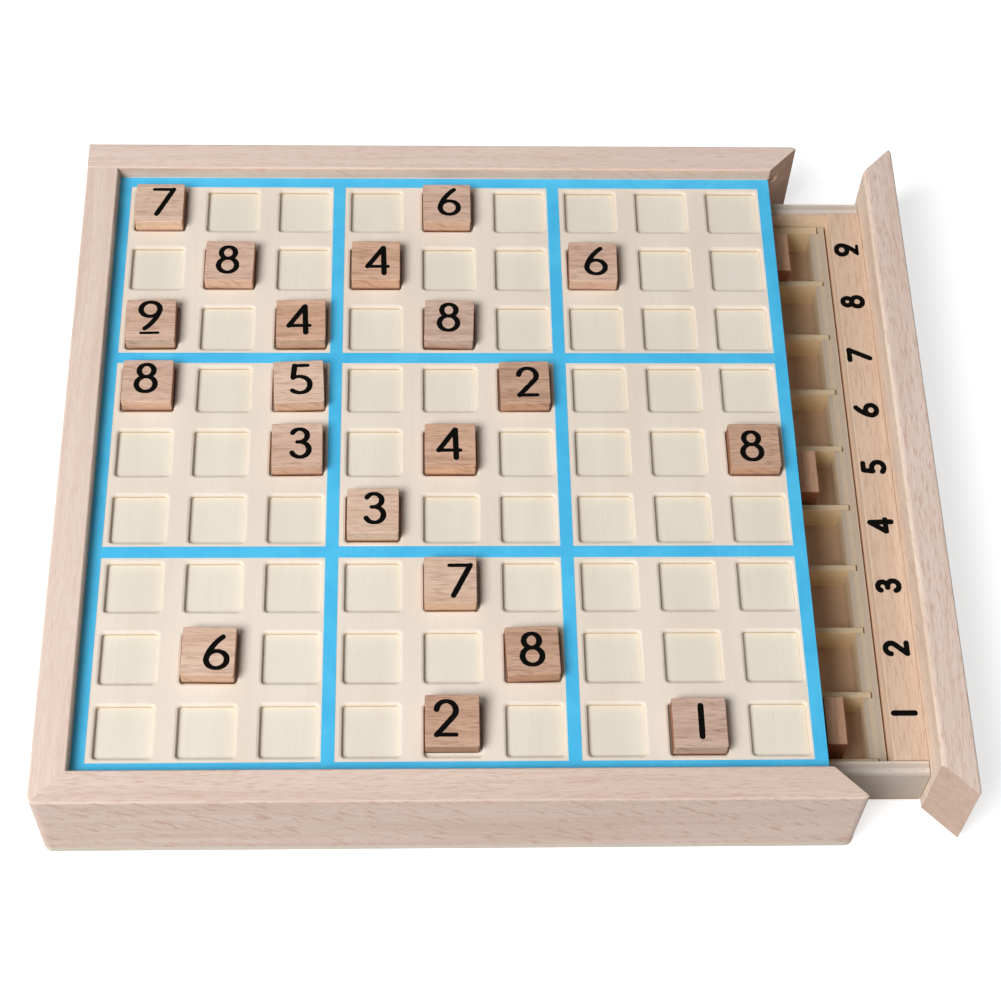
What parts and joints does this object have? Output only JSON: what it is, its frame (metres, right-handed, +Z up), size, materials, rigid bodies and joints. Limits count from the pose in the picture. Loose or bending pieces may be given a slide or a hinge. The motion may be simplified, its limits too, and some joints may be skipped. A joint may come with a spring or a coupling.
{
  "type": "sudoku board",
  "caption": "Square wooden sudoku board: mitred case, play board with a pocket for each number tile, blue grid lines and a side drawer that stores spare tiles in rows.",
  "frame": {"origin": "middle of the underside of the base panel, on the table", "axes": "+X the way the drawer opens, +Y to the back of the board, +Z up"},
  "size_m": [0.2959, 0.2614, 0.039],
  "materials": {
    "rail_wood": "pale beech, sanded",
    "board_wood": "cream basswood, bare",
    "tile_wood": "pinkish beech, sanded",
    "strip_wood": "beech, sanded",
    "plywood": "birch plywood, bare",
    "blue_paint": "thin sky-blue paint",
    "digit_ink": "black printing ink"
  },
  "bodies": {
    "case": {"left_rail": "rail_wood", "back_rail": "rail_wood", "front_rail": "rail_wood", "play_board": "board_wood", "grid_paint": "blue_paint", "base_panel": "plywood"},
    "drawer": {"drawer_front": "rail_wood", "number_strip": "strip_wood", "drawer_side_front": "plywood", "drawer_side_back": "plywood", "drawer_back": "plywood", "drawer_bottom": "plywood", "front_comb": "plywood", "rear_comb": "plywood", "front_lining": "plywood", "back_lining": "plywood", "divider_1_2": "plywood", "divider_2_3": "plywood", "divider_3_4": "plywood", "divider_4_5": "plywood", "divider_5_6": "plywood", "divider_6_7": "plywood", "divider_7_8": "plywood", "divider_8_9": "plywood", "stored_tiles_1": "tile_wood", "stored_tiles_2": "tile_wood", "stored_tiles_3": "tile_wood", "stored_tiles_4": "tile_wood", "stored_tiles_5": "tile_wood", "stored_tiles_6": "tile_wood", "stored_tiles_7": "tile_wood", "stored_tiles_8": "tile_wood", "stored_tiles_9": "tile_wood"},
    "tile_7_r1c1": {"tile_7_r1c1": "tile_wood"},
    "tile_6_r1c5": {"tile_6_r1c5": "tile_wood"},
    "tile_8_r2c2": {"tile_8_r2c2": "tile_wood"},
    "tile_4_r2c4": {"tile_4_r2c4": "tile_wood"},
    "tile_6_r2c7": {"tile_6_r2c7": "tile_wood"},
    "tile_9_r3c1": {"tile_9_r3c1": "tile_wood"},
    "tile_4_r3c3": {"tile_4_r3c3": "tile_wood"},
    "tile_8_r3c5": {"tile_8_r3c5": "tile_wood"},
    "tile_8_r4c1": {"tile_8_r4c1": "tile_wood"},
    "tile_5_r4c3": {"tile_5_r4c3": "tile_wood"},
    "tile_2_r4c6": {"tile_2_r4c6": "tile_wood"},
    "tile_3_r5c3": {"tile_3_r5c3": "tile_wood"},
    "tile_4_r5c5": {"tile_4_r5c5": "tile_wood"},
    "tile_8_r5c9": {"tile_8_r5c9": "tile_wood"},
    "tile_3_r6c4": {"tile_3_r6c4": "tile_wood"},
    "tile_7_r7c5": {"tile_7_r7c5": "tile_wood"},
    "tile_6_r8c2": {"tile_6_r8c2": "tile_wood"},
    "tile_8_r8c6": {"tile_8_r8c6": "tile_wood"},
    "tile_2_r9c5": {"tile_2_r9c5": "tile_wood"},
    "tile_1_r9c8": {"tile_1_r9c8": "tile_wood"}
  },
  "joints": [
    {"name": "drawer_slide", "type": "slide", "parent": "case", "child": "drawer", "axis": [1, 0, 0], "range_m": [-0.0345, 0.044]},
    {"name": "lift_7_r1c1", "type": "slide", "parent": "case", "child": "tile_7_r1c1", "axis": [0, 0, 1], "range_m": [0, 0.03]},
    {"name": "lift_6_r1c5", "type": "slide", "parent": "case", "child": "tile_6_r1c5", "axis": [0, 0, 1], "range_m": [0, 0.03]},
    {"name": "lift_8_r2c2", "type": "slide", "parent": "case", "child": "tile_8_r2c2", "axis": [0, 0, 1], "range_m": [0, 0.03]},
    {"name": "lift_4_r2c4", "type": "slide", "parent": "case", "child": "tile_4_r2c4", "axis": [0, 0, 1], "range_m": [0, 0.03]},
    {"name": "lift_6_r2c7", "type": "slide", "parent": "case", "child": "tile_6_r2c7", "axis": [0, 0, 1], "range_m": [0, 0.03]},
    {"name": "lift_9_r3c1", "type": "slide", "parent": "case", "child": "tile_9_r3c1", "axis": [0, 0, 1], "range_m": [0, 0.03]},
    {"name": "lift_4_r3c3", "type": "slide", "parent": "case", "child": "tile_4_r3c3", "axis": [0, 0, 1], "range_m": [0, 0.03]},
    {"name": "lift_8_r3c5", "type": "slide", "parent": "case", "child": "tile_8_r3c5", "axis": [0, 0, 1], "range_m": [0, 0.03]},
    {"name": "lift_8_r4c1", "type": "slide", "parent": "case", "child": "tile_8_r4c1", "axis": [0, 0, 1], "range_m": [0, 0.03]},
    {"name": "lift_5_r4c3", "type": "slide", "parent": "case", "child": "tile_5_r4c3", "axis": [0, 0, 1], "range_m": [0, 0.03]},
    {"name": "lift_2_r4c6", "type": "slide", "parent": "case", "child": "tile_2_r4c6", "axis": [0, 0, 1], "range_m": [0, 0.03]},
    {"name": "lift_3_r5c3", "type": "slide", "parent": "case", "child": "tile_3_r5c3", "axis": [0, 0, 1], "range_m": [0, 0.03]},
    {"name": "lift_4_r5c5", "type": "slide", "parent": "case", "child": "tile_4_r5c5", "axis": [0, 0, 1], "range_m": [0, 0.03]},
    {"name": "lift_8_r5c9", "type": "slide", "parent": "case", "child": "tile_8_r5c9", "axis": [0, 0, 1], "range_m": [0, 0.03]},
    {"name": "lift_3_r6c4", "type": "slide", "parent": "case", "child": "tile_3_r6c4", "axis": [0, 0, 1], "range_m": [0, 0.03]},
    {"name": "lift_7_r7c5", "type": "slide", "parent": "case", "child": "tile_7_r7c5", "axis": [0, 0, 1], "range_m": [0, 0.03]},
    {"name": "lift_6_r8c2", "type": "slide", "parent": "case", "child": "tile_6_r8c2", "axis": [0, 0, 1], "range_m": [0, 0.03]},
    {"name": "lift_8_r8c6", "type": "slide", "parent": "case", "child": "tile_8_r8c6", "axis": [0, 0, 1], "range_m": [0, 0.03]},
    {"name": "lift_2_r9c5", "type": "slide", "parent": "case", "child": "tile_2_r9c5", "axis": [0, 0, 1], "range_m": [0, 0.03]},
    {"name": "lift_1_r9c8", "type": "slide", "parent": "case", "child": "tile_1_r9c8", "axis": [0, 0, 1], "range_m": [0, 0.03]}
  ]
}
